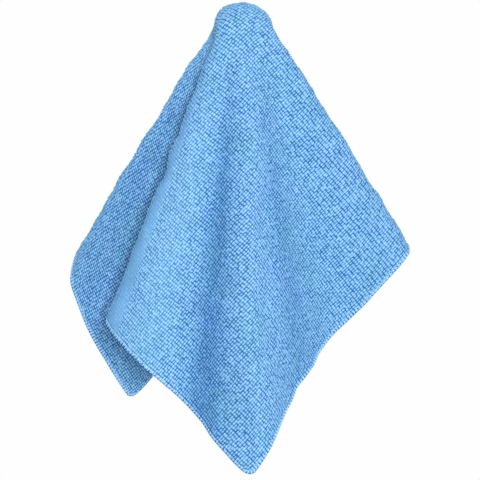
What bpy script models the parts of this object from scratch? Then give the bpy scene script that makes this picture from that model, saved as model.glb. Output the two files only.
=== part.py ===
"""Microfibre cleaning cloth, hung from one point near its middle.

The cloth is a square knitted sheet with rounded, overlocked corners. It is held up by something
narrow and round under its crown, and falls from there in folds that all run down from that point.

Frame: metres, +Z up, origin under the crown at the hang point, -Y is the side that the broad
front face looks to, +X is to the right when seen from the front.

How the shape is made: every straight line drawn on the flat cloth outward from the hang point is a
ray, known by its flat angle. A hanging ray rolls over the crown and then runs straight along its
own direction. The fold table gives that direction at each fold and in the middle of each face.
"""
import math
from collections import namedtuple

import bpy
import numpy as np

# Sizes of the flat cloth, in metres.
CLOTH_SIDE = 0.305
SHEET_THICKNESS = 0.0015
CORNER_RADIUS = 0.0045
HEM_DRAW = 0.003          # how far the middle of each hem is drawn in from the straight
HANG_OFFSET_U = 0.0022    # from the hang point to the cloth's middle, along the two flat sides
HANG_OFFSET_V = 0.0178

# How the cloth bends.
CROWN_RADIUS = 0.0130     # roundness over the hang point
CROWN_SPREAD = 0.20       # how much wider the rays leave the crown than they hang below
SPREAD_REACH = 0.035      # distance from the hang point over which that fades
FOLD_WIDTH = 0.0195       # softness of a fold at REFERENCE_REACH, in radians
REFERENCE_REACH = 0.150
VISIBLE_FADE = 0.62       # how fast folds of the front half soften towards the crown
REAR_FADE = 1.2           # the same for the rear half, whose pleats start lower
SOFTEST_FOLD = 1.2        # no fold is softened more than this, in radians
REACH_SOFTNESS = 0.06     # softness of the change in reach from fold to fold, in radians
FRONT_ANGLE = 46.5        # flat angle of the ray that runs over the crown straight to the front

# How finely the mesh follows the cloth.
FINE_ANGLES = 1440
FINE_STEP = 0.001
MESH_ANGLES = 176
FOLD_CROWDING = 1.6       # share of mesh angles given to turning rather than to plain width
RING_FRACTIONS = (0.022, 0.048, 0.078, 0.112, 0.15, 0.20, 0.27, 0.37, 0.50, 0.66, 0.83, 1.0)

CLOTH_BLUE = (0.17, 0.42, 0.75, 1.0)

# One row for each fold and face. flat: angle of the ray on the flat cloth, in degrees.
# across: how far the hanging ray swings right (+) or left (-) of straight down, in degrees.
# back: how far it swings to the rear (+) or the front (-). reach: stretch along the ray.
Fold = namedtuple("Fold", "name flat across back reach")
FOLDS = (
    Fold("right fold", 8.0, 31.9, 7.0, 0.99),
    Fold("right face", 20.0, 19.0, 3.5, 1.02),
    Fold("right slope top", 27.0, 13.0, 3.5, 1.02),
    Fold("right slope foot", 38.0, 7.0, -4.5, 1.0),
    Fold("front ridge", 46.5, 2.5, -10.8, 1.01),
    Fold("left slope foot", 50.5, -2.0, -7.5, 1.0),
    Fold("left slope top", 57.5, -7.0, -2.2, 1.0),
    Fold("left face", 65.0, -14.3, -2.5, 1.0),
    Fold("left fold", 73.0, -20.8, 1.5, 1.0),
    Fold("left fold rear", 76.0, -21.6, 6.0, 1.0),
    Fold("first valley", 103.0, 4.0, 8.0, 1.0),
    Fold("first valley rear", 108.0, 4.5, 13.0, 1.0),
    Fold("tail inner face", 121.0, -5.0, 15.0, 0.92),
    Fold("tail corner", 131.0, -12.0, 13.5, 0.985),
    Fold("tail outer face", 141.0, -21.9, 11.0, 1.0),
    Fold("tail fold", 149.0, -29.0, 9.5, 0.97),
    Fold("tail fold rear", 153.0, -30.9, 13.5, 0.97),
    Fold("second valley", 183.0, -4.0, 19.5, 1.0),
    Fold("second valley rear", 187.0, -3.5, 24.5, 1.0),
    Fold("rear left fold", 208.0, -25.0, 25.5, 1.0),
    Fold("rear left fold rear", 212.5, -25.0, 30.5, 1.0),
    Fold("third valley", 239.0, 7.0, 26.5, 1.0),
    Fold("third valley rear", 245.0, 9.0, 31.5, 1.0),
    Fold("rear middle fold", 262.0, -6.0, 43.0, 1.0),
    Fold("rear middle fold right", 270.0, 1.0, 46.0, 1.0),
    Fold("rear right fold", 292.0, 24.0, 33.0, 1.0),
    Fold("rear right fold front", 296.5, 25.0, 28.0, 1.0),
    Fold("fourth valley", 325.0, 2.0, 25.0, 1.0),
    Fold("fourth valley front", 330.0, 2.5, 20.0, 1.0),
    Fold("right fold rear", 365.0, 31.3, 12.0, 0.99),
)
REAR_START = 165.0        # flat angles between which the cloth counts as its rear half
REAR_END = 345.0
REAR_BLEND = 25.0         # degrees over which front and rear softening change over


def direction(across, back):
    """Unit vector of a ray that swings by two angles from straight down."""
    a = math.radians(across)
    b = math.radians(back)
    return (math.sin(a) * math.cos(b), math.sin(b), -math.cos(a) * math.cos(b))


def unit(vectors):
    """The vectors, each at length one."""
    return vectors / np.linalg.norm(vectors, axis=-1, keepdims=True)


def fold_line(angles):
    """Direction and reach of the rays at the given flat angles, straight between the rows."""
    flats = np.array([row.flat for row in FOLDS] + [FOLDS[0].flat + 360.0])
    rows = list(FOLDS) + [FOLDS[0]]
    columns = np.array([direction(row.across, row.back) + (row.reach,) for row in rows])
    turned = (angles - flats[0]) % 360.0 + flats[0]
    values = np.stack([np.interp(turned, flats, column) for column in columns.T], axis=1)
    return unit(values[:, :3]), values[:, 3]


def soften(values, width):
    """A closed row of values with waves shorter than the width, in radians, smoothed out.

    The mean and the first wave keep their size, so the cloth stays as wide as it hangs.
    """
    waves = np.fft.rfft(values, axis=0)
    count = np.arange(len(waves)).reshape((-1,) + (1,) * (values.ndim - 1))
    fade = np.exp(-0.5 * np.maximum(count ** 2 - 1, 0) * width ** 2)
    return np.fft.irfft(waves * fade, n=len(values), axis=0)


def fold_softness(distance, fade):
    """Softness of a fold, in radians, at a distance along the cloth from the hang point."""
    return min(FOLD_WIDTH * (REFERENCE_REACH / distance) ** fade, SOFTEST_FOLD)


def rear_share(angles):
    """One on the rear half of the cloth and zero on its front half, with a smooth change."""
    rise = (angles - REAR_START) / REAR_BLEND
    fall = (REAR_END - angles) / REAR_BLEND
    ramp = np.clip(np.minimum(rise, fall) + 0.5, 0.0, 1.0)
    return (ramp * ramp * (3.0 - 2.0 * ramp))[:, None]


def hanging_rays(length):
    """Points along each ray: an array of distance by flat angle by coordinate, and its angles."""
    angles = np.arange(FINE_ANGLES) * 360.0 / FINE_ANGLES
    line, reach = fold_line(angles)
    reach = soften(reach, REACH_SOFTNESS)[:, None]
    rear = rear_share(angles)
    turn = np.radians(angles - FRONT_ANGLE)
    level = np.stack([-np.sin(turn), -np.cos(turn), np.zeros_like(turn)], axis=1)
    steps = int(round(length / FINE_STEP))
    points = np.zeros((steps + 1, FINE_ANGLES, 3))
    for step in range(steps):
        distance = (step + 0.5) * FINE_STEP
        front_rays = soften(line, fold_softness(distance, VISIBLE_FADE))
        rear_rays = soften(line, fold_softness(distance, REAR_FADE))
        down = front_rays * (1.0 - rear) + rear_rays * rear
        down[:, :2] *= 1.0 + CROWN_SPREAD * math.exp(-distance / SPREAD_REACH)
        down = unit(down)
        bend = np.arccos(np.clip((level * down).sum(axis=1, keepdims=True), -1.0, 1.0))
        left = np.clip(1.0 - distance / (CROWN_RADIUS * bend), 0.0, 1.0)
        heading = (np.sin(left * bend) * level + np.sin((1.0 - left) * bend) * down) / np.sin(bend)
        points[step + 1] = points[step] + heading * FINE_STEP * reach
    return angles, points


def hem_distance(angles):
    """Distance on the flat cloth from the hang point to the hem, at each flat angle."""
    turn = np.radians(angles)
    along = np.stack([np.cos(turn), np.sin(turn)], axis=1)
    middle = np.array([HANG_OFFSET_U, HANG_OFFSET_V])
    half = CLOTH_SIDE / 2
    side = middle + np.sign(along) * half
    parallel = np.abs(along) < 1e-9
    reaches = np.where(parallel, np.inf, side / np.where(parallel, 1.0, along))
    nearest = reaches.argmin(axis=1)
    row = np.arange(len(angles))
    distance = reaches[row, nearest]
    spot = along * distance[:, None]
    other = 1 - nearest
    share = (spot[row, other] - middle[other]) / half
    drawn = HEM_DRAW * (1.0 - share ** 2)
    distance = distance * (1.0 - drawn / np.abs(side[row, nearest]))
    # Round each corner with an arc about a point set in from both hems.
    centre = middle + np.sign(along) * (half - CORNER_RADIUS)
    spot = along * distance[:, None]
    outside = ((spot - centre) * np.sign(along) > 0).all(axis=1)
    dot = (along * centre).sum(axis=1)
    square = dot ** 2 - (centre ** 2).sum(axis=1) + CORNER_RADIUS ** 2
    arc = dot + np.sqrt(np.maximum(square, 0.0))
    return np.where(outside & (square > 0), np.minimum(arc, distance), distance)


def crowded_angles(angles, points):
    """Mesh angles: evenly spread in width plus turning, so that folds get more of them."""
    ring = points[int(round(REFERENCE_REACH / FINE_STEP))]
    ahead = unit(np.roll(ring, -1, axis=0) - ring)
    turning = np.arccos(np.clip((ahead * np.roll(ahead, 1, axis=0)).sum(axis=1), -1.0, 1.0))
    cost = np.ones(len(angles)) / len(angles) + FOLD_CROWDING * turning / turning.sum()
    total = np.concatenate([[0.0], np.cumsum(cost)])
    spread = np.linspace(0.0, total[-1], MESH_ANGLES, endpoint=False)
    return np.interp(spread, total, np.append(angles, 360.0))


def sample(grid, distances, angles):
    """Values of the fine grid at the given distances (metres) and flat angles (degrees)."""
    row = np.clip(distances / FINE_STEP, 0.0, len(grid) - 1.001)
    column = (angles / 360.0 * FINE_ANGLES) % FINE_ANGLES
    r0 = row.astype(int)
    c0 = column.astype(int)
    c1 = (c0 + 1) % FINE_ANGLES
    fr = (row - r0)[..., None]
    fc = (column - c0)[..., None]
    near = grid[r0, c0] * (1 - fc) + grid[r0, c1] * fc
    far = grid[r0 + 1, c0] * (1 - fc) + grid[r0 + 1, c1] * fc
    return near * (1 - fr) + far * fr


def outward(points):
    """Outward normal of the sheet at each point of the fine grid."""
    along = np.gradient(points, axis=0)
    across = np.roll(points, -1, axis=1) - np.roll(points, 1, axis=1)
    normals = np.cross(across, along)
    normals[0] = (0.0, 0.0, 1.0)
    length = np.linalg.norm(normals, axis=2, keepdims=True)
    return normals / np.maximum(length, 1e-12)


def cloth_mesh(name):
    """The hanging cloth as one closed sheet: outer face, inner face and the edge between them."""
    angles, points = hanging_rays(1.02 * (CLOTH_SIDE / 2 + HANG_OFFSET_V) * math.sqrt(2.0))
    normals = outward(points)
    spread = crowded_angles(angles, points)
    hem = hem_distance(spread)
    distances = np.array(RING_FRACTIONS)[:, None] * hem[None, :]
    grid_angles = np.broadcast_to(spread, distances.shape)
    middle = sample(points, distances, grid_angles)
    facing = unit(sample(normals, distances, grid_angles))
    half = SHEET_THICKNESS / 2
    outer = middle + facing * half
    inner = middle - facing * half
    lift = np.array([0.0, 0.0, half])
    # The hang point is the underside of the crown.
    verts = [2 * lift, 0 * lift]
    verts += [tuple(p + lift) for p in outer.reshape(-1, 3)]
    verts += [tuple(p + lift) for p in inner.reshape(-1, 3)]
    rings = len(RING_FRACTIONS)

    def at(sheet, ring, column):
        return 2 + (sheet * rings + ring) * MESH_ANGLES + column % MESH_ANGLES

    faces = []
    for column in range(MESH_ANGLES):
        faces.append((0, at(0, 0, column + 1), at(0, 0, column)))
        faces.append((1, at(1, 0, column), at(1, 0, column + 1)))
        for ring in range(rings - 1):
            faces.append((at(0, ring, column), at(0, ring, column + 1),
                          at(0, ring + 1, column + 1), at(0, ring + 1, column)))
            faces.append((at(1, ring, column + 1), at(1, ring, column),
                          at(1, ring + 1, column), at(1, ring + 1, column + 1)))
        faces.append((at(0, rings - 1, column), at(0, rings - 1, column + 1),
                      at(1, rings - 1, column + 1), at(1, rings - 1, column)))
    mesh = bpy.data.meshes.new(name)
    mesh.from_pydata([tuple(float(c) for c in v) for v in verts], [], faces)
    mesh.validate()
    mesh.shade_smooth()
    mesh.set_sharp_from_angle(angle=math.radians(50.0))
    return mesh


def knit_material():
    """Plain blue of the dyed microfibre knit."""
    material = bpy.data.materials.new("microfibre_knit")
    material.use_nodes = True
    shader = material.node_tree.nodes["Principled BSDF"]
    shader.inputs["Base Color"].default_value = CLOTH_BLUE
    shader.inputs["Roughness"].default_value = 0.9
    shader.inputs["Metallic"].default_value = 0.0
    return material


def main():
    for old in list(bpy.data.objects):
        bpy.data.objects.remove(old, do_unlink=True)
    mesh = cloth_mesh("cloth")
    mesh.materials.append(knit_material())
    cloth = bpy.data.objects.new("cloth", mesh)
    bpy.context.scene.collection.objects.link(cloth)


main()
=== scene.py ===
"""Looks of a square microfibre cleaning cloth that hangs from one point near its middle.

The ground knit is a fine sheet on the folds of the frame. Looped pile stands on both of its faces, one
low tuft for each loop, and overlock thread closes its hem all round. The folds are the frame's own: the
same short table of hanging rays makes both.

Frame: metres, +Z up, origin under the crown at the hang point, -Y is the side that the broad front
face looks to, +X is to the right when seen from the front.
"""
import math
from collections import namedtuple

import bpy
import numpy as np
from bpy.props import FloatProperty, FloatVectorProperty, IntProperty, PointerProperty
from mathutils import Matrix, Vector


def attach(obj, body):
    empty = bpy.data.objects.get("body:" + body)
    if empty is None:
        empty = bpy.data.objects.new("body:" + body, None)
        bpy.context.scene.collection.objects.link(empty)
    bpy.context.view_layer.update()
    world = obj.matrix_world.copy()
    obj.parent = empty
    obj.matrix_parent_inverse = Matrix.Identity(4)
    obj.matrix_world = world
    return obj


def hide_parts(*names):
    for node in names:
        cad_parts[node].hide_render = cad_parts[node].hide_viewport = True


bl_info = {
    "name": "Hanging microfibre cloth",
    "version": (1, 0, 0),
    "blender": (4, 5, 0),
    "location": "View3D > Sidebar > Cloth",
    "description": "Builds a hanging microfibre cleaning cloth with its pile and overlocked hem",
    "category": "Object",
}

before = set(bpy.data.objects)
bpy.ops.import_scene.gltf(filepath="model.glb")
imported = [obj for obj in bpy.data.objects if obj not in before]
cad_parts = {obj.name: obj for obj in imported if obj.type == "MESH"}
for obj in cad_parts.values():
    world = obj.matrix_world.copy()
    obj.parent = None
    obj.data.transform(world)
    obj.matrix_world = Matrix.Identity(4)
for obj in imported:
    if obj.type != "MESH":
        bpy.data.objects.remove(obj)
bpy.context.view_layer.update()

MM = 0.001
MAP_MARGIN = 1.2          # side of the square that the pattern map covers, in sides of the cloth

# How the cloth bends, as in the frame's own solid.
CROWN_RADIUS = 0.0130     # roundness over the hang point
HANG_OFFSET_U = 0.0022    # from the hang point to the cloth's middle, along the two flat sides
HANG_OFFSET_V = 0.0178
CROWN_SPREAD = 0.20       # how much wider the rays leave the crown than they hang below
SPREAD_REACH = 0.035      # distance from the hang point over which that fades
FOLD_WIDTH = 0.0195       # softness of a fold at REFERENCE_REACH, in radians
REFERENCE_REACH = 0.150
VISIBLE_FADE = 0.62       # how fast folds of the front half soften towards the crown
REAR_FADE = 1.2           # the same for the rear half, whose pleats start lower
SOFTEST_FOLD = 1.2        # no fold is softened more than this, in radians
FRONT_ANGLE = 46.5        # flat angle of the ray that runs over the crown straight to the front
REACH_SOFTNESS = 0.06     # softness of the change in reach from fold to fold, in radians
FINE_ANGLES = 1440
FINE_STEP = 0.001
REAR_START = 165.0        # flat angles between which the cloth counts as its rear half
REAR_END = 345.0
REAR_BLEND = 25.0         # degrees over which front and rear softening change over
RIPPLES = 26              # soft waves laid over the folds
RIPPLE_SHORTEST = 9 * MM
RIPPLE_LONGEST = 42 * MM

# One row for each fold and face. flat: angle of the ray on the flat cloth, in degrees.
# across: how far the hanging ray swings right (+) or left (-) of straight down, in degrees.
# back: how far it swings to the rear (+) or the front (-). reach: stretch along the ray.
Fold = namedtuple("Fold", "name flat across back reach")
FOLDS = (
    Fold("right fold", 8.0, 31.9, 7.0, 0.99),
    Fold("right face", 20.0, 19.0, 3.5, 1.02),
    Fold("right slope top", 27.0, 13.0, 3.5, 1.02),
    Fold("right slope foot", 38.0, 7.0, -4.5, 1.0),
    Fold("front ridge", 46.5, 2.5, -10.8, 1.01),
    Fold("left slope foot", 50.5, -2.0, -7.5, 1.0),
    Fold("left slope top", 57.5, -7.0, -2.2, 1.0),
    Fold("left face", 65.0, -14.3, -2.5, 1.0),
    Fold("left fold", 73.0, -20.8, 1.5, 1.0),
    Fold("left fold rear", 76.0, -21.6, 6.0, 1.0),
    Fold("first valley", 103.0, 4.0, 8.0, 1.0),
    Fold("first valley rear", 108.0, 4.5, 13.0, 1.0),
    Fold("tail inner face", 121.0, -5.0, 15.0, 0.92),
    Fold("tail corner", 131.0, -12.0, 13.5, 0.985),
    Fold("tail outer face", 141.0, -21.9, 11.0, 1.0),
    Fold("tail fold", 149.0, -29.0, 9.5, 0.97),
    Fold("tail fold rear", 153.0, -30.9, 13.5, 0.97),
    Fold("second valley", 183.0, -4.0, 19.5, 1.0),
    Fold("second valley rear", 187.0, -3.5, 24.5, 1.0),
    Fold("rear left fold", 208.0, -25.0, 25.5, 1.0),
    Fold("rear left fold rear", 212.5, -25.0, 30.5, 1.0),
    Fold("third valley", 239.0, 7.0, 26.5, 1.0),
    Fold("third valley rear", 245.0, 9.0, 31.5, 1.0),
    Fold("rear middle fold", 262.0, -6.0, 43.0, 1.0),
    Fold("rear middle fold right", 270.0, 1.0, 46.0, 1.0),
    Fold("rear right fold", 292.0, 24.0, 33.0, 1.0),
    Fold("rear right fold front", 296.5, 25.0, 28.0, 1.0),
    Fold("fourth valley", 325.0, 2.0, 25.0, 1.0),
    Fold("fourth valley front", 330.0, 2.5, 20.0, 1.0),
    Fold("right fold rear", 365.0, 31.3, 12.0, 0.99),
)


def linear(hexed):
    """A colour given as sRGB hex, as linear red, green, blue and alpha."""
    parts = [int(hexed[i:i + 2], 16) / 255.0 for i in (1, 3, 5)]
    return tuple(c / 12.92 if c <= 0.04045 else ((c + 0.055) / 1.055) ** 2.4 for c in parts) + (1.0,)


# ---------------------------------------------------------------------------------------------
# The hanging surface


def direction(across, back):
    """Unit vector of a ray that swings by two angles from straight down."""
    a = math.radians(across)
    b = math.radians(back)
    return (math.sin(a) * math.cos(b), math.sin(b), -math.cos(a) * math.cos(b))


def unit(vectors):
    """The vectors, each at length one."""
    return vectors / np.maximum(np.linalg.norm(vectors, axis=-1, keepdims=True), 1e-12)


def fold_line(angles):
    """Direction and reach of the rays at the given flat angles, straight between the rows."""
    flats = np.array([row.flat for row in FOLDS] + [FOLDS[0].flat + 360.0])
    rows = list(FOLDS) + [FOLDS[0]]
    columns = np.array([direction(row.across, row.back) + (row.reach,) for row in rows])
    turned = (angles - flats[0]) % 360.0 + flats[0]
    values = np.stack([np.interp(turned, flats, column) for column in columns.T], axis=1)
    return unit(values[:, :3]), values[:, 3]


def soften(values, width):
    """A closed row of values with waves shorter than the width, in radians, smoothed out.

    The mean and the first wave keep their size, so the cloth stays as wide as it hangs.
    """
    waves = np.fft.rfft(values, axis=0)
    count = np.arange(len(waves)).reshape((-1,) + (1,) * (values.ndim - 1))
    fade = np.exp(-0.5 * np.maximum(count ** 2 - 1, 0) * width ** 2)
    return np.fft.irfft(waves * fade, n=len(values), axis=0)


def fold_softness(distance, fade):
    """Softness of a fold, in radians, at a distance along the cloth from the hang point."""
    return min(FOLD_WIDTH * (REFERENCE_REACH / distance) ** fade, SOFTEST_FOLD)


def rear_share(angles):
    """One on the rear half of the cloth and zero on its front half, with a smooth change."""
    rise = (angles - REAR_START) / REAR_BLEND
    fall = (REAR_END - angles) / REAR_BLEND
    ramp = np.clip(np.minimum(rise, fall) + 0.5, 0.0, 1.0)
    return (ramp * ramp * (3.0 - 2.0 * ramp))[:, None]


def hanging_rays(length):
    """Points along each ray: an array of distance by flat angle by coordinate."""
    angles = np.arange(FINE_ANGLES) * 360.0 / FINE_ANGLES
    line, reach = fold_line(angles)
    reach = soften(reach, REACH_SOFTNESS)[:, None]
    rear = rear_share(angles)
    turn = np.radians(angles - FRONT_ANGLE)
    level = np.stack([-np.sin(turn), -np.cos(turn), np.zeros_like(turn)], axis=1)
    steps = int(round(length / FINE_STEP))
    points = np.zeros((steps + 1, FINE_ANGLES, 3))
    for step in range(steps):
        distance = (step + 0.5) * FINE_STEP
        front_rays = soften(line, fold_softness(distance, VISIBLE_FADE))
        rear_rays = soften(line, fold_softness(distance, REAR_FADE))
        down = front_rays * (1.0 - rear) + rear_rays * rear
        down[:, :2] *= 1.0 + CROWN_SPREAD * math.exp(-distance / SPREAD_REACH)
        down = unit(down)
        bend = np.arccos(np.clip((level * down).sum(axis=1, keepdims=True), -1.0, 1.0))
        left = np.clip(1.0 - distance / (CROWN_RADIUS * bend), 0.0, 1.0)
        heading = (np.sin(left * bend) * level + np.sin((1.0 - left) * bend) * down) / np.sin(bend)
        points[step + 1] = points[step] + heading * FINE_STEP * reach
    return points


def sample(grid, distances, angles):
    """Values of the fine grid at the given distances (metres) and flat angles (degrees)."""
    row = np.clip(distances / FINE_STEP, 0.0, len(grid) - 1.001)
    column = (angles / 360.0 * FINE_ANGLES) % FINE_ANGLES
    r0 = row.astype(int)
    c0 = column.astype(int) % FINE_ANGLES
    c1 = (c0 + 1) % FINE_ANGLES
    fr = (row - r0)[..., None]
    fc = (column - np.floor(column))[..., None]
    near = grid[r0, c0] * (1 - fc) + grid[r0, c1] * fc
    far = grid[r0 + 1, c0] * (1 - fc) + grid[r0 + 1, c1] * fc
    return near * (1 - fr) + far * fr


def outward(points):
    """Outward normal of the sheet at each point of the fine grid."""
    along = np.gradient(points, axis=0)
    across = np.roll(points, -1, axis=1) - np.roll(points, 1, axis=1)
    normals = np.cross(across, along)
    normals[0] = (0.0, 0.0, 1.0)
    return unit(normals)


def plane_waves(u, v, waves):
    """Sum of plane waves over the flat cloth. Each wave is (length, direction, phase, height)."""
    total = np.zeros_like(u)
    for length, heading, phase, height in waves:
        along = u * math.cos(heading) + v * math.sin(heading)
        total += height * np.sin(2 * math.pi * along / length + phase)
    return total


def random_waves(count, shortest, longest, height, seed):
    """Plane waves of mixed lengths and directions, the longer the higher."""
    rng = np.random.default_rng(seed)
    lengths = shortest * (longest / shortest) ** rng.random(count)
    headings = rng.random(count) * 2 * math.pi
    phases = rng.random(count) * 2 * math.pi
    return [(l, h, p, height * (l / longest)) for l, h, p in zip(lengths, headings, phases)]


class HangingCloth:
    """The cloth's middle surface: flat places in, places in the frame out."""

    def __init__(self, shape):
        self.side = shape.side
        self.corner = shape.corner_radius
        self.draw = shape.hem_draw
        self.lift = shape.thickness / 2
        # The longest ray runs to the corner farthest from the hang point, and a little past it.
        self.rays = hanging_rays(1.02 * (self.side / 2 + HANG_OFFSET_V) * math.sqrt(2.0))
        self.facing = outward(self.rays)
        self.waves = random_waves(RIPPLES, RIPPLE_SHORTEST, RIPPLE_LONGEST, shape.pucker, seed=11)

    def flat(self, s, t):
        """Flat place, from the hang point, of a spot given from -1 to 1 across both ways."""
        half = self.side / 2
        u = s * (half - self.draw * (1 - t ** 2))
        v = t * (half - self.draw * (1 - s ** 2))
        inset = half - self.corner
        du = np.abs(u) - inset
        dv = np.abs(v) - inset
        inside = (du > 0) & (dv > 0)
        length = np.hypot(du, dv)
        shrink = np.where(inside, np.maximum(du, dv) / np.maximum(length, 1e-9), 1.0)
        u = np.where(inside, np.sign(u) * (inset + du * shrink), u)
        v = np.where(inside, np.sign(v) * (inset + dv * shrink), v)
        return u + HANG_OFFSET_U, v + HANG_OFFSET_V

    def place(self, u, v, height=0.0):
        """Places in the frame of flat places, raised outward by height."""
        reach = np.hypot(u, v)
        angle = np.degrees(np.arctan2(v, u))
        normal = unit(sample(self.facing, reach, angle))
        raised = plane_waves(u, v, self.waves) + height
        spot = sample(self.rays, reach, angle) + normal * raised[..., None]
        return spot + np.array([0.0, 0.0, self.lift])


# ---------------------------------------------------------------------------------------------
# Meshes and materials


def mesh_piece(name, verts, faces, flats, side):
    """An object from arrays. faces is a list of arrays, one for each number of corners.

    flats are the vertices' flat places, kept as the map that the patterns lie on.
    """
    mesh = bpy.data.meshes.new(name)
    corners = np.concatenate([f.ravel() for f in faces]).astype(np.int32)
    counts = np.concatenate([np.full(len(f), f.shape[1]) for f in faces])
    starts = np.concatenate([[0], np.cumsum(counts)[:-1]]).astype(np.int32)
    mesh.vertices.add(len(verts))
    mesh.vertices.foreach_set("co", np.asarray(verts, np.float32).ravel())
    mesh.loops.add(len(corners))
    mesh.loops.foreach_set("vertex_index", corners)
    mesh.polygons.add(len(counts))
    mesh.polygons.foreach_set("loop_start", starts)
    mesh.update(calc_edges=True)
    layer = mesh.uv_layers.new(name="OFBake")
    spread = 0.5 + flats[corners] / (side * MAP_MARGIN)
    layer.uv.foreach_set("vector", spread.astype(np.float32).ravel())
    mesh.shade_smooth()
    piece = bpy.data.objects.new(name, mesh)
    bpy.context.scene.collection.objects.link(piece)
    return piece


def write_values(piece, name, values):
    """One number for each vertex, for the material to read by name."""
    made = piece.data.attributes.new(name, "FLOAT", "POINT")
    made.data.foreach_set("value", np.asarray(values, np.float32))


def add_node(tree, kind, settings=None, links=None):
    """A node of this kind, with its settings by name and its inputs from values or sockets."""
    node = tree.nodes.new(kind)
    for name, value in (settings or {}).items():
        setattr(node, name, value)
    for name, value in (links or {}).items():
        if isinstance(value, bpy.types.NodeSocket):
            tree.links.new(value, node.inputs[name])
        else:
            node.inputs[name].default_value = value
    return node


def blank_material(name):
    """A new material and its tree, with no nodes yet."""
    material = bpy.data.materials.new(name)
    material.use_nodes = True
    material.node_tree.nodes.clear()
    return material, material.node_tree


def loop_ramp(tree, factor, stops):
    """A colour ramp with the given (place, colour) stops."""
    ramp = add_node(tree, "ShaderNodeValToRGB", links={"Fac": factor})
    ramp.color_ramp.interpolation = "EASE"
    elements = ramp.color_ramp.elements
    while len(elements) < len(stops):
        elements.new(0.5)
    for element, (spot, colour) in zip(elements, stops):
        element.position = spot
        element.color = colour
    return ramp


DYE_PATCH = 22 * MM       # over which the dye and the lay of the pile change
# Single fibres are far too fine to show, so they are drawn as wide as a strand of many.
FIBRE_STRAND = 0.45 * MM
FIBRE_RELIEF = 0.12 * MM


def microfibre_pile(look, shape):
    """Split polyester and polyamide microfibre, dyed, knitted in loops.

    It gives a matt, slightly velvety blue with small changes from loop to loop, a painted highlight on
    the loop tips, painted shade in the gaps between loops, and painted shading in bands over the folds.
    """
    material, tree = blank_material("microfibre_looped_pile")
    place = add_node(tree, "ShaderNodeUVMap", {"uv_map": "OFBake"}).outputs["UV"]
    mapped = shape.side * MAP_MARGIN
    height = add_node(tree, "ShaderNodeAttribute", {"attribute_name": "pile"}).outputs["Fac"]
    tone_and_shade = add_node(tree, "ShaderNodeAttribute", {"attribute_name": "tone_and_shade"}).outputs["Fac"]
    patches = add_node(tree, "ShaderNodeTexNoise", {"noise_dimensions": "2D"},
                       {"Vector": place, "Scale": mapped / DYE_PATCH, "Detail": 3.0, "Roughness": 0.6})
    fibres = add_node(tree, "ShaderNodeTexNoise", {"noise_dimensions": "2D"},
                      {"Vector": place, "Scale": mapped / FIBRE_STRAND, "Detail": 2.0, "Roughness": 0.6})
    # How pale a spot is: its height in the loop, which paints shade at the root and a highlight at the
    # tip, plus stray fibres, plus the tone of its loop with its band's painted shading.
    mixed = add_node(tree, "ShaderNodeMath", {"operation": "MULTIPLY_ADD"},
                     {0: fibres.outputs["Fac"], 1: look.fibre_contrast, 2: height})
    shaded = add_node(tree, "ShaderNodeMath", {"operation": "MULTIPLY_ADD"},
                      {0: tone_and_shade, 1: look.tone_contrast, 2: mixed.outputs[0]})
    centred = add_node(tree, "ShaderNodeMath", {"operation": "SUBTRACT", "use_clamp": True},
                       {0: shaded.outputs[0], 1: (look.fibre_contrast + look.tone_contrast) / 2})
    ramp = loop_ramp(tree, centred.outputs[0], (
        (0.0, tuple(look.root_shade_colour)), (0.30, tuple(look.body_colour)), (1.0, tuple(look.tip_highlight_colour))))
    hue = add_node(tree, "ShaderNodeMapRange", links={
        "Value": patches.outputs["Fac"], "From Min": 0.3, "From Max": 0.7,
        "To Min": 0.5 - look.hue_drift, "To Max": 0.5 + look.hue_drift})
    value = add_node(tree, "ShaderNodeMapRange", links={
        "Value": patches.outputs["Fac"], "From Min": 0.3, "From Max": 0.7,
        "To Min": 1.0 - look.value_drift, "To Max": 1.0 + look.value_drift})
    drift = add_node(tree, "ShaderNodeHueSaturation", links={
        "Hue": hue.outputs["Result"], "Value": value.outputs["Result"], "Color": ramp.outputs["Color"]})
    bump = add_node(tree, "ShaderNodeBump", links={
        "Height": fibres.outputs["Fac"], "Strength": 0.35, "Distance": FIBRE_RELIEF})
    textile_surface(tree, drift.outputs["Color"], bump.outputs["Normal"], look.sheen, 0.9)
    return material


# The thread's own plies are finer than this, and are drawn just coarse enough to break up its shine.
THREAD_PLY = 0.9 * MM
THREAD_STRAY = 2.2 * MM
THREAD_RELIEF = 0.1 * MM


def polyester_thread(look, shape):
    """Spun polyester overlock thread, dyed to match.

    It gives a fine pale rim, smoother than the pile, with painted shade where the threads cross below
    the bars.
    """
    material, tree = blank_material("spun_polyester_thread")
    place = add_node(tree, "ShaderNodeUVMap", {"uv_map": "OFBake"}).outputs["UV"]
    mapped = shape.side * MAP_MARGIN
    twist = add_node(tree, "ShaderNodeTexWave", {"wave_type": "BANDS", "bands_direction": "DIAGONAL"}, {
        "Vector": place, "Scale": mapped / THREAD_PLY, "Distortion": 1.5, "Detail": 1.0})
    stray = add_node(tree, "ShaderNodeTexNoise", {"noise_dimensions": "2D"},
                     {"Vector": place, "Scale": mapped / THREAD_STRAY, "Detail": 2.0})
    tone_and_shade = add_node(tree, "ShaderNodeAttribute", {"attribute_name": "tone_and_shade"}).outputs["Fac"]
    shaded = add_node(tree, "ShaderNodeMath", {"operation": "MULTIPLY_ADD"},
                      {0: stray.outputs["Fac"], 1: 0.4, 2: tone_and_shade})
    ramp = loop_ramp(tree, shaded.outputs[0], (
        (0.15, tuple(look.thread_shade)), (0.9, tuple(look.thread_colour))))
    bump = add_node(tree, "ShaderNodeBump", links={
        "Height": twist.outputs["Fac"], "Strength": 0.4, "Distance": THREAD_RELIEF})
    textile_surface(tree, ramp.outputs["Color"], bump.outputs["Normal"], 0.25, 0.7)
    return material


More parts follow.
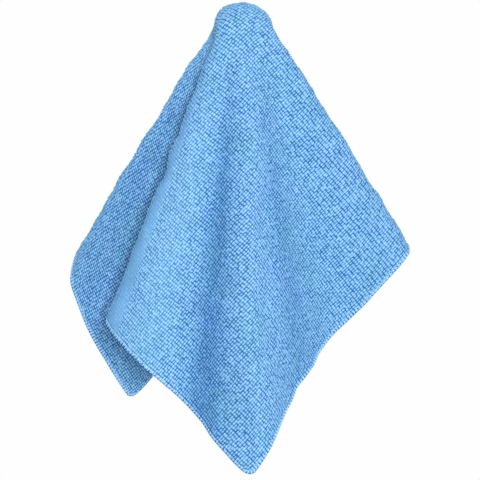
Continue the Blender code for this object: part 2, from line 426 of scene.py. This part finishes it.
def textile_surface(tree, colour, normal, sheen, roughness):
    """The surface shader of dyed fibres, which shine little, and the material's output."""
    shader = add_node(tree, "ShaderNodeBsdfPrincipled", links={
        "Base Color": colour, "Normal": normal, "Roughness": roughness, "IOR": 1.45,
        "Specular IOR Level": 0.05, "Sheen Weight": sheen, "Sheen Roughness": 0.5,
        "Sheen Tint": linear("#8CC0F0")})
    add_node(tree, "ShaderNodeOutputMaterial", links={"Surface": shader.outputs["BSDF"]})


# ---------------------------------------------------------------------------------------------
# Pieces


def cell_edges(count):
    """Edges of the rows of loops, from -1 to 1 over the cloth."""
    return np.linspace(-1.0, 1.0, count + 1)


# Where the cloth lay creased the pile stays pressed: flatter and smoother. The bands also get painted
# shading: painted shade where a fold's slope or hollow lies in shade, painted light where a face turns
# to the light.
# flat and wide: middle and half width of a band of rays, in degrees. press: from 0 to 1.
# shade: how much painted shade (+) or painted light (-) the band gets, as a share of the tone's range.
# edge: how sharply the band ends, from 2, soft, upwards.
Crease = namedtuple("Crease", "flat wide press shade edge")
# The rows at 66 and 144 degrees press nothing: they are painted light and painted shade alone.
CREASES = (
    Crease(54.5, 2.4, 0.5, 1.10, 2),
    Crease(36.0, 2.6, 0.30, 0.50, 2),
    Crease(24.0, 9.0, 0.10, 0.22, 2),
    Crease(66.0, 3.0, 0.0, -0.35, 2),
    Crease(72.4, 1.7, 0.9, 0.05, 6),
    Crease(144.0, 7.0, 0.0, 0.55, 2),
)
CREASE_START = 0.030      # distance from the hang point over which the creases come in
CREASE_FULL = 0.090
CREASE_FLAT = 0.65        # how much of its height a fully pressed loop loses
CREASE_FILL = 0.34        # how pale the gaps beside it become, as flattened fibres fill them and their painted shade lifts
CREASE_LEVEL = 0.45       # how much of its painted tip highlight it loses


def pressed(u, v):
    """How far the pile is pressed at flat places, from 0 to 1, and how much painted shading its band
    gets.
    """
    reach = np.hypot(u, v)
    angle = np.degrees(np.arctan2(v, u))
    onset = np.clip((reach - CREASE_START) / (CREASE_FULL - CREASE_START), 0.0, 1.0)
    press = np.zeros_like(reach)
    band_painted_shading = np.zeros_like(reach)
    for crease in CREASES:
        band = onset * np.exp(-0.5 * np.abs((angle - crease.flat) / crease.wide) ** crease.edge)
        press += crease.press * band
        band_painted_shading += crease.shade * band
    return press, band_painted_shading


HEM_SHADE = 0.0           # painted shade of the bare hem between the stitches, from 0, deep, to 1, pale
GROUND_SHARE = 0.75       # cells of the ground knit for each row of loops


def ground_sheet(cloth, look):
    """The ground knit as one closed sheet: outer face, inner face and the edge between them."""
    across = cell_edges(int(look.loops_across * GROUND_SHARE))
    down = cell_edges(int(look.loops_down * GROUND_SHARE))
    s, t = np.meshgrid(across, down, indexing="ij")
    u, v = cloth.flat(s, t)
    half = look.ground_thickness / 2
    outer = cloth.place(u, v, half)
    inner = cloth.place(u, v, -half)
    columns, rows = s.shape
    index = np.arange(columns * rows).reshape(columns, rows)
    quads = np.stack([index[:-1, :-1], index[1:, :-1], index[1:, 1:], index[:-1, 1:]], axis=-1)
    quads = quads.reshape(-1, 4)
    total = columns * rows
    border = np.concatenate([index[:-1, 0], index[-1, :-1], index[:0:-1, -1], index[0, :0:-1]])
    after = np.roll(border, -1)
    rim = np.stack([border, border + total, after + total, after], axis=1)
    faces = np.concatenate([quads, quads[:, ::-1] + total, rim])
    verts = np.concatenate([outer.reshape(-1, 3), inner.reshape(-1, 3)])
    flats = np.stack([u - HANG_OFFSET_U, v - HANG_OFFSET_V], axis=-1).reshape(-1, 2)
    piece = mesh_piece("ground_knit", verts, [faces], np.concatenate([flats, flats]), cloth.side)
    # The bare hem gets painted shade between the stitches, and the rest of the ground the painted shade
    # of the gaps between loops.
    hem = np.maximum(np.abs(s), np.abs(t)) * cloth.side / 2 > cloth.side / 2 - look.bare_hem - MM
    press, band_painted_shading = pressed(u, v)
    shade = np.maximum(np.where(hem, HEM_SHADE, look.ground_shade), CREASE_FILL * press).ravel()
    write_values(piece, "pile", np.concatenate([shade, shade]))
    # The bands' painted shading, carried with the tone.
    tone_and_shade = 0.5 - band_painted_shading.ravel()
    write_values(piece, "tone_and_shade", np.concatenate([tone_and_shade, tone_and_shade]))
    return piece


# A tuft is a low dome on six feet with a short ridge. Each row is one of its corners: across and
# along in cell widths from its middle, and up in pile heights.
Corner = namedtuple("Corner", "across along up")
TUFT_CORNERS = (
    Corner(0.48, -0.36, 0.12), Corner(0.48, 0.36, 0.12), Corner(0.0, 0.50, 0.0),
    Corner(-0.48, 0.36, 0.12), Corner(-0.48, -0.36, 0.12), Corner(0.0, -0.50, 0.0),
    Corner(0.0, -0.26, 1.0), Corner(0.0, 0.26, 1.0),
)
TUFT_SIDES = ((0, 1, 7, 6), (3, 4, 6, 7))
TUFT_ENDS = ((1, 2, 7), (2, 3, 7), (4, 5, 6), (5, 0, 6))
TUFT_SPREAD = 0.08        # how much the tufts differ in width
TUFT_LOWEST = 0.35        # least and most height of a tuft, in pile heights
TUFT_HIGHEST = 1.7
TUFT_SUNK = 0.05 * MM     # how deep a tuft's feet stand in the ground knit


def pile_strip(name, cloth, look, outside, share, seed):
    """Tufts on one face of the cloth, over a share of its columns, joined into one mesh."""
    rng = np.random.default_rng(seed)
    first, last = (int(round(look.loops_across * s)) for s in share)
    columns = np.arange(first, last)
    rows = np.arange(look.loops_down)
    i, j = (a.ravel() for a in np.meshgrid(columns, rows, indexing="ij"))
    wide = 2.0 / look.loops_across
    long = 2.0 / look.loops_down
    s = -1 + (i + 0.5) * wide
    t = -1 + (j + 0.5) * long
    reach = np.maximum(np.abs(s), np.abs(t)) * cloth.side / 2
    kept = reach < cloth.side / 2 - look.bare_hem
    s, t = s[kept], t[kept]
    count = len(s)
    jitter = rng.normal(0.0, look.stray, (count, 2)) * np.array([wide, long])
    turn = rng.normal(0.0, look.twist, count)
    size = 1.0 + rng.normal(0.0, TUFT_SPREAD, count)
    uneven = 1.0 + rng.normal(0.0, look.height_spread, count)
    height = look.pile_height * np.clip(uneven, TUFT_LOWEST, TUFT_HIGHEST)
    lean = rng.normal(0.0, look.lean, (count, 2))
    press, band_painted_shading = pressed(*cloth.flat(s, t))
    height = height * (1.0 - CREASE_FLAT * press)
    side = 1.0 if outside else -1.0
    base = look.ground_thickness / 2 - TUFT_SUNK
    verts = np.zeros((count, len(TUFT_CORNERS), 3))
    flats = np.zeros((count, len(TUFT_CORNERS), 2))
    for k, corner in enumerate(TUFT_CORNERS):
        a = corner.across * size * np.cos(turn) - corner.along * size * np.sin(turn)
        b = corner.across * size * np.sin(turn) + corner.along * size * np.cos(turn)
        a = a + lean[:, 0] * corner.up
        b = b + lean[:, 1] * corner.up
        u, v = cloth.flat(s + jitter[:, 0] + a * wide, t + jitter[:, 1] + b * long)
        verts[:, k] = cloth.place(u, v, side * (base + corner.up * height))
        flats[:, k] = np.stack([u - HANG_OFFSET_U, v - HANG_OFFSET_V], axis=-1)
    start = (np.arange(count) * len(TUFT_CORNERS))[:, None]
    sides = (start[:, :, None] + np.array(TUFT_SIDES)[None]).reshape(-1, 4)
    ends = (start[:, :, None] + np.array(TUFT_ENDS)[None]).reshape(-1, 3)
    if not outside:
        sides = sides[:, ::-1]
        ends = ends[:, ::-1]
    piece = mesh_piece(name, verts.reshape(-1, 3), [sides, ends], flats.reshape(-1, 2), cloth.side)
    # Feet get painted shade and ridges a painted highlight. Pressing evens out a loop's foot and tip,
    # and brings neighbouring loops nearer to one tone; the band's painted shading is taken off the tone.
    up = np.array([corner.up for corner in TUFT_CORNERS])
    flattened = press[:, None]
    shade = up * (1.0 - CREASE_LEVEL * flattened) + (1.0 - up) * CREASE_FILL * flattened
    write_values(piece, "pile", shade.ravel())
    tone_and_shade = rng.random(count) * (1.0 - 0.5 * press) + 0.25 * press - band_painted_shading
    write_values(piece, "tone_and_shade", np.repeat(tone_and_shade, len(TUFT_CORNERS)))
    return piece


HEM_STEPS = 2000          # steps along each side by which the hem's length is measured


def hem_walk(cloth, spacing):
    """Flat places at an even spacing round the hem, and the ways onward and inward at each."""
    run = np.linspace(-1.0, 1.0, HEM_STEPS + 1)[:-1]
    one = np.ones_like(run)
    s = np.concatenate([run, one, -run, -one])
    t = np.concatenate([-one, run, one, -run])
    u, v = cloth.flat(s, t)
    line = np.stack([u, v], axis=1)
    steps = np.linalg.norm(np.roll(line, -1, axis=0) - line, axis=1)
    along = np.concatenate([[0.0], np.cumsum(steps)])
    count = int(round(along[-1] / spacing))
    at = np.arange(count) * along[-1] / count
    closed = np.concatenate([line, line[:1]])
    spots = np.stack([np.interp(at, along, closed[:, k]) for k in range(2)], axis=1)
    ahead = unit(np.roll(spots, -1, axis=0) - np.roll(spots, 1, axis=0))
    inward = np.stack([-ahead[:, 1], ahead[:, 0]], axis=1)
    return spots, ahead, inward


def tube(path, flats, radius, sides, closed):
    """Vertices, faces and flat places of threads along paths (threads by points by coordinate).

    A closed thread runs on from its last point to its first.
    """
    ahead = np.gradient(path, axis=1)
    if closed:
        ahead = np.roll(path, -1, axis=1) - np.roll(path, 1, axis=1)
    ahead = unit(ahead)
    up = np.zeros_like(ahead)
    up[..., 2] = 1.0
    up[np.abs(ahead[..., 2]) > 0.9] = (1.0, 0.0, 0.0)
    first = unit(np.cross(ahead, up))
    # Carry the first point's frame along each thread, so that the tube doesn't twist.
    for k in range(1, path.shape[1]):
        carried = first[:, k - 1]
        carried = carried - (carried * ahead[:, k]).sum(-1, keepdims=True) * ahead[:, k]
        first[:, k] = unit(carried)
    second = np.cross(ahead, first)
    turn = np.arange(sides) * 2 * math.pi / sides
    ring = (first[:, :, None] * np.cos(turn)[:, None] + second[:, :, None] * np.sin(turn)[:, None])
    verts = path[:, :, None] + ring * radius
    threads, points = path.shape[:2]
    index = np.arange(threads * points * sides).reshape(threads, points, sides)
    near = index if closed else index[:, :-1]
    far = np.roll(index, -1, axis=1) if closed else index[:, 1:]
    quads = np.stack([near, np.roll(near, -1, axis=2), np.roll(far, -1, axis=2), far], axis=-1)
    spread = np.repeat(flats.reshape(-1, 2), sides, axis=0)
    return verts.reshape(-1, 3), quads.reshape(-1, 4), spread


# A bar runs from the needle line on one face, over the edge, to the needle line on the other. Each
# row is one of its points: inward in bites, along in stitch spacings, up in hem half thicknesses,
# and out past the edge in thread radii.
BarPoint = namedtuple("BarPoint", "inward along up out")
BAR = (
    BarPoint(1.00, -0.30, 1.00, 0.0), BarPoint(0.62, -0.22, 1.15, 0.0), BarPoint(0.25, -0.12, 1.10, 0.0),
    BarPoint(0.03, -0.04, 0.75, 1.54), BarPoint(0.0, 0.0, 0.0, 1.9), BarPoint(0.03, 0.04, -0.75, 1.54),
    BarPoint(0.25, 0.12, -1.10, 0.0), BarPoint(0.62, 0.22, -1.15, 0.0), BarPoint(1.00, 0.30, -1.00, 0.0),
)
BAR_SIDES = 5             # sides of a bar's thread, and of the others
THREAD_SIDES = 4
BITE_SPREAD = 0.06        # how much the bars differ in length
PURL_POINTS = 4           # points of the purl's curve for each stitch
NEEDLE_POINTS = 4         # points of each stitch of the needle line
NEEDLE_HALF = 0.30        # half a needle stitch's length, in stitch spacings
BAR_TONE = 0.75           # how pale the bars are painted where they lie on top in the light, from 0 to 1
PURL_TONE = 0.0           # and the purl, which lies in their shade
NEEDLE_TONE = 0.45


def thread_run(cloth, flat, inward, height, out, radius, sides, closed=False):
    """Threads through flat places, raised by height and pushed out past the edge by out."""
    place = cloth.place(flat[..., 0], flat[..., 1], height)
    within = cloth.place(flat[..., 0] + inward[..., 0] * MM, flat[..., 1] + inward[..., 1] * MM, height)
    place = place + unit(place - within) * out[..., None]
    return tube(place, flat, radius, sides, closed)


def overlock(cloth, look, ground_thickness):
    """The hem's thread: slanting bars over both faces, a purl along the edge and a needle line."""
    spacing = look.stitch_spacing
    radius = look.thread_width / 2
    clear = ground_thickness / 2 + radius * 0.8
    spots, ahead, inward = hem_walk(cloth, spacing)
    count = len(spots)
    bite = look.bite * (1.0 + np.random.default_rng(5).normal(0.0, BITE_SPREAD, count))
    parts = []

    table = np.array(BAR)
    into = np.repeat(inward[:, None], len(table), axis=1)
    flat = (spots[:, None] + into * (bite[:, None] * table[:, 0])[..., None]
            + ahead[:, None] * (spacing * table[:, 1])[None, :, None])
    height = np.broadcast_to(clear * table[:, 2], flat.shape[:2])
    out = np.broadcast_to(radius * table[:, 3], flat.shape[:2])
    parts.append((BAR_TONE, thread_run(cloth, flat, into, height, out, radius, BAR_SIDES)))

    # Purl: two looper threads cross at the very edge and knot it.
    edge, _, edge_inward = hem_walk(cloth, spacing / PURL_POINTS)
    wave = np.arange(len(edge)) * 2 * math.pi / PURL_POINTS
    out = (radius * (0.5 + 0.4 * np.cos(2 * wave)))[None]
    for phase in (0.0, math.pi):
        height = (0.45 * clear * np.sin(wave + phase))[None]
        run = thread_run(cloth, edge[None], edge_inward[None], height, out, radius, THREAD_SIDES,
                         closed=True)
        parts.append((PURL_TONE, run))

    # Needle line: a short stitch for each bar, on both faces.
    dash = np.linspace(-NEEDLE_HALF, NEEDLE_HALF, NEEDLE_POINTS)
    into = np.repeat(inward[:, None], len(dash), axis=1)
    flat = spots[:, None] + into * bite[:, None, None] + ahead[:, None] * (spacing * dash)[None, :, None]
    out = np.zeros(flat.shape[:2])
    for face in (1.0, -1.0):
        height = np.broadcast_to(face * clear * (1.0 + 0.3 * np.cos(dash * math.pi)), flat.shape[:2])
        parts.append((NEEDLE_TONE, thread_run(cloth, flat, into, height, out, radius, THREAD_SIDES)))

    verts, faces, flats, tones, total = [], [], [], [], 0
    for tone_and_shade, (run_verts, run_faces, run_flats) in parts:
        verts.append(run_verts)
        faces.append(run_faces + total)
        flats.append(run_flats - np.array([HANG_OFFSET_U, HANG_OFFSET_V]))
        tones.append(np.full(len(run_verts), tone_and_shade))
        total += len(run_verts)
    piece = mesh_piece("overlock_thread", np.concatenate(verts), [np.concatenate(faces)],
                       np.concatenate(flats), cloth.side)
    write_values(piece, "tone_and_shade", np.concatenate(tones))
    return piece


# ---------------------------------------------------------------------------------------------
# Settings


class ClothShape(bpy.types.PropertyGroup):
    side: FloatProperty(name="Side", description="Side of the flat cloth", default=0.305,
                        subtype="DISTANCE", unit="LENGTH", precision=4)
    thickness: FloatProperty(name="Thickness", description="Thickness of cloth and pile together",
                             default=0.0015, unit="LENGTH", precision=5)
    corner_radius: FloatProperty(name="Corner radius", description="Rounding of the four corners",
                                 default=0.0045, unit="LENGTH", precision=4)
    hem_draw: FloatProperty(name="Hem draw", description="How far the stitching draws in each hem",
                            default=0.003, unit="LENGTH", precision=4)
    pucker: FloatProperty(name="Pucker", description="Height of the longest soft waves in the cloth",
                          default=0.00022, unit="LENGTH", precision=5)


class PileLook(bpy.types.PropertyGroup):
    loops_across: IntProperty(name="Loops across", description="Columns of loops", default=248)
    loops_down: IntProperty(name="Loops down", description="Rows of loops", default=176)
    ground_thickness: FloatProperty(name="Ground", description="Thickness of the ground knit",
                                    default=0.0006, unit="LENGTH", precision=5)
    pile_height: FloatProperty(name="Pile height", description="How far a loop stands up",
                               default=0.00055, unit="LENGTH", precision=5)
    height_spread: FloatProperty(name="Height spread", description="Unevenness of height",
                                 default=0.26)
    stray: FloatProperty(name="Stray", description="How far a loop strays, in cells", default=0.06)
    twist: FloatProperty(name="Twist", description="How far a loop turns", default=0.14,
                         subtype="ANGLE")
    lean: FloatProperty(name="Lean", description="How far a loop leans, in cells", default=0.11)
    bare_hem: FloatProperty(name="Bare hem", description="Hem width with no loops",
                            default=0.0006, unit="LENGTH", precision=5)
    # Painted shade of the ground in the gaps between loops.
    ground_shade: FloatProperty(name="Ground shade", description="Depth of colour between loops",
                                default=0.05)
    fibre_contrast: FloatProperty(name="Fibre contrast", description="Colour change within a loop",
                                  default=0.35)
    tone_contrast: FloatProperty(name="Tone contrast", description="Colour change between loops",
                                 default=0.24)
    hue_drift: FloatProperty(name="Hue drift", description="Slow change of hue", default=0.006)
    value_drift: FloatProperty(name="Value drift", description="Slow change of depth", default=0.05)
    sheen: FloatProperty(name="Sheen", description="Soft light at glancing angles", default=0.10)
    # Painted shade deep between the loops.
    root_shade_colour: FloatVectorProperty(name="Root", description="Colour deep between the loops",
                                     subtype="COLOR", size=4, default=linear("#285D92"))
    body_colour: FloatVectorProperty(name="Body", description="Colour of a loop's flank",
                                     subtype="COLOR", size=4, default=linear("#6A9EC5"))
    # Painted highlight on a loop's tip.
    tip_highlight_colour: FloatVectorProperty(name="Tip", description="Colour of a loop's tip",
                                    subtype="COLOR", size=4, default=linear("#98C6E3"))


class HemLook(bpy.types.PropertyGroup):
    stitch_spacing: FloatProperty(name="Stitch spacing", description="From stitch to stitch",
                                  default=0.0018, unit="LENGTH", precision=5)
    bite: FloatProperty(name="Bite", description="Width of the overlock", default=0.0013,
                        unit="LENGTH", precision=5)
    thread_width: FloatProperty(name="Thread", description="Width of the thread", default=0.00044,
                                unit="LENGTH", precision=5)
    thread_colour: FloatVectorProperty(name="Thread colour", description="Colour of the thread",
                                       subtype="COLOR", size=4, default=linear("#B4D8F3"))
    # Painted shade of the purl and of the threads below the bars.
    thread_shade: FloatVectorProperty(name="Thread shade", description="Its darker strands",
                                      subtype="COLOR", size=4, default=linear("#3E7DB8"))


class StageLook(bpy.types.PropertyGroup):
    view_width: FloatProperty(name="View width", description="Width seen at the cloth",
                              default=0.2330, unit="LENGTH", precision=4)
    distance: FloatProperty(name="Camera distance", description="From the camera to the cloth",
                            default=1.3, unit="LENGTH")
    tilt: FloatProperty(name="Camera tilt", description="How far the camera looks down",
                        default=math.radians(9.0), subtype="ANGLE")
    floor_drop: FloatProperty(name="Floor drop", description="Floor below the hang point",
                              default=0.60, unit="LENGTH")
    key: FloatProperty(name="Key light", description="Power of the large front light", default=38.5,
                       unit="POWER")
    world: FloatProperty(name="Room light", description="Strength of the light all round",
                         default=0.68)


SURFACE = {}              # the hanging surface, kept here once it is worked out


def cloth_of(context):
    """The hanging surface for the scene's settings, worked out once."""
    if "cloth" not in SURFACE:
        SURFACE["cloth"] = HangingCloth(context.scene.cloth_shape)
    return SURFACE["cloth"]


def dress(piece, material):
    """Gives a piece its material and its place on the frame."""
    piece.data.materials.append(material)
    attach(piece, "root")
    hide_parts("cloth")


def pile_material(context):
    """The one material that ground and pile share."""
    found = bpy.data.materials.get("microfibre_looped_pile")
    return found or microfibre_pile(context.scene.pile_look, context.scene.cloth_shape)


# ---------------------------------------------------------------------------------------------
# Operators


class CLOTH_OT_pile(bpy.types.Operator):
    """Stand the looped pile on both faces of the cloth"""
    bl_idname = "object.cloth_pile"
    bl_label = "Looped pile"

    def execute(self, context):
        look = context.scene.pile_look
        cloth = cloth_of(context)
        seed = 20
        for face in ("outer", "inner"):
            for half, share in ((1, (0.0, 0.5)), (2, (0.5, 1.0))):
                piece = pile_strip(f"pile_{face}_{half}", cloth, look, face == "outer", share, seed)
                dress(piece, pile_material(context))
                seed += 1
        return {"FINISHED"}


class CLOTH_OT_overlock(bpy.types.Operator):
    """Sew the overlock thread round the hem"""
    bl_idname = "object.cloth_overlock"
    bl_label = "Overlocked hem"

    def execute(self, context):
        scene = context.scene
        look = scene.hem_look
        piece = overlock(cloth_of(context), look, scene.pile_look.ground_thickness)
        dress(piece, polyester_thread(look, scene.cloth_shape))
        return {"FINISHED"}


class CLOTH_OT_ground(bpy.types.Operator):
    """Hang the ground knit on the frame's folds"""
    bl_idname = "object.cloth_ground"
    bl_label = "Ground knit"

    def execute(self, context):
        scene = context.scene
        piece = ground_sheet(cloth_of(context), scene.pile_look)
        dress(piece, pile_material(context))
        return {"FINISHED"}


class CLOTH_OT_stage(bpy.types.Operator):
    """Set up the pale floor, the soft light and the camera"""
    bl_idname = "scene.cloth_stage"
    bl_label = "Stage, light and camera"

    def execute(self, context):
        scene = context.scene
        look = scene.stage_look
        studio_floor(scene, look)
        room_light(scene, look)
        for lamp in SOFTBOXES:
            softbox(scene, lamp, look.key)
        front_camera(scene, look)
        scene.view_settings.view_transform = "Standard"
        return {"FINISHED"}


def aim(thing, target):
    """Turns a camera or a light towards a point."""
    way = Vector(target) - thing.location
    thing.rotation_mode = "QUATERNION"
    thing.rotation_quaternion = way.to_track_quat("-Z", "Y")


# Soft round lights. width is across, and share is of the key light's power.
Lamp = namedtuple("Lamp", "name spot width share")
SOFTBOXES = (
    Lamp("front_softbox", (0.18, -1.89, 0.32), 0.6, 1.0),
    Lamp("rear_softbox", (-0.9, 1.7, 0.9), 1.2, 0.35),
)
LIGHT_TARGET = (0.0, 0.0, -0.11)
VIEW_MIDDLE = (-0.0010, 0.0, -0.1137)
FLOOR_RADIUS = 5.0
WALL_HEIGHT = 5.0
WALL_SIDES = 48


def studio_floor(scene, look):
    """A round pale floor with a wall of the same white, so that no horizon shows in any view."""
    turns = [k * 2 * math.pi / WALL_SIDES for k in range(WALL_SIDES)]
    ring = [(FLOOR_RADIUS * math.cos(turn), FLOOR_RADIUS * math.sin(turn)) for turn in turns]
    low = [(x, y, 0.0) for x, y in ring]
    high = [(x, y, WALL_HEIGHT) for x, y in ring]
    after = [(k + 1) % WALL_SIDES for k in range(WALL_SIDES)]
    wall = [(k, n, n + WALL_SIDES, k + WALL_SIDES) for k, n in enumerate(after)]
    mesh = bpy.data.meshes.new("studio_floor")
    mesh.from_pydata(low + high, [], [tuple(range(WALL_SIDES))] + wall)
    floor = bpy.data.objects.new("studio_floor", mesh)
    floor.location.z = -look.floor_drop
    scene.collection.objects.link(floor)
    # The board glows evenly and lights nothing, so it stays plain from every side.
    material, tree = blank_material("matt_white_board")
    glow = add_node(tree, "ShaderNodeEmission", links={"Color": linear("#FEFEFE"), "Strength": 1.0})
    add_node(tree, "ShaderNodeOutputMaterial", links={"Surface": glow.outputs["Emission"]})
    mesh.materials.append(material)
    floor.visible_diffuse = False
    floor.visible_glossy = False
    floor.visible_shadow = False


def room_light(scene, look):
    """Even, slightly cool light from all round."""
    world = bpy.data.worlds.new("studio_room")
    scene.world = world
    world.use_nodes = True
    world.node_tree.nodes.clear()
    room = add_node(world.node_tree, "ShaderNodeBackground", links={
        "Color": linear("#DCEAFF"), "Strength": look.world})
    add_node(world.node_tree, "ShaderNodeOutputWorld", links={"Surface": room.outputs["Background"]})


def softbox(scene, lamp, power):
    """One soft round light, aimed at the cloth."""
    light = bpy.data.lights.new(lamp.name, "AREA")
    light.shape = "DISK"
    light.size = lamp.width
    light.energy = lamp.share * power
    box = bpy.data.objects.new(lamp.name, light)
    box.location = lamp.spot
    scene.collection.objects.link(box)
    aim(box, LIGHT_TARGET)


def front_camera(scene, look):
    """A long lens in front of the cloth, looking slightly down."""
    data = bpy.data.cameras.new("camera")
    data.lens = data.sensor_width * look.distance / look.view_width
    data.clip_end = 4 * FLOOR_RADIUS
    camera = bpy.data.objects.new("camera", data)
    camera.location = (VIEW_MIDDLE[0], VIEW_MIDDLE[1] - look.distance * math.cos(look.tilt),
                       VIEW_MIDDLE[2] + look.distance * math.sin(look.tilt))
    scene.collection.objects.link(camera)
    aim(camera, VIEW_MIDDLE)
    scene.camera = camera


class CLOTH_PT_panel(bpy.types.Panel):
    """The cloth's steps and settings"""
    bl_idname = "CLOTH_PT_panel"
    bl_label = "Hanging cloth"
    bl_space_type = "VIEW_3D"
    bl_region_type = "UI"
    bl_category = "Cloth"

    def draw(self, context):
        for group, operator in STEPS:
            box = self.layout.box()
            settings = getattr(context.scene, group)
            for name in settings.bl_rna.properties.keys():
                if name not in ("rna_type", "name"):
                    box.prop(settings, name)
            box.operator(operator.bl_idname)


GROUPS = (("cloth_shape", ClothShape), ("pile_look", PileLook), ("hem_look", HemLook),
          ("stage_look", StageLook))
STEPS = (("cloth_shape", CLOTH_OT_ground), ("pile_look", CLOTH_OT_pile),
         ("hem_look", CLOTH_OT_overlock), ("stage_look", CLOTH_OT_stage))
CLASSES = (ClothShape, PileLook, HemLook, StageLook, CLOTH_OT_pile, CLOTH_OT_overlock,
           CLOTH_OT_ground, CLOTH_OT_stage, CLOTH_PT_panel)


def register():
    for made in CLASSES:
        bpy.utils.register_class(made)
    for name, group in GROUPS:
        setattr(bpy.types.Scene, name, PointerProperty(type=group))


def unregister():
    for name, _ in GROUPS:
        delattr(bpy.types.Scene, name)
    for made in reversed(CLASSES):
        bpy.utils.unregister_class(made)


def main():
    register()
    bpy.ops.object.cloth_pile()
    bpy.ops.object.cloth_overlock()
    bpy.ops.object.cloth_ground()
    bpy.ops.scene.cloth_stage()


if __name__ == "__main__":
    main()
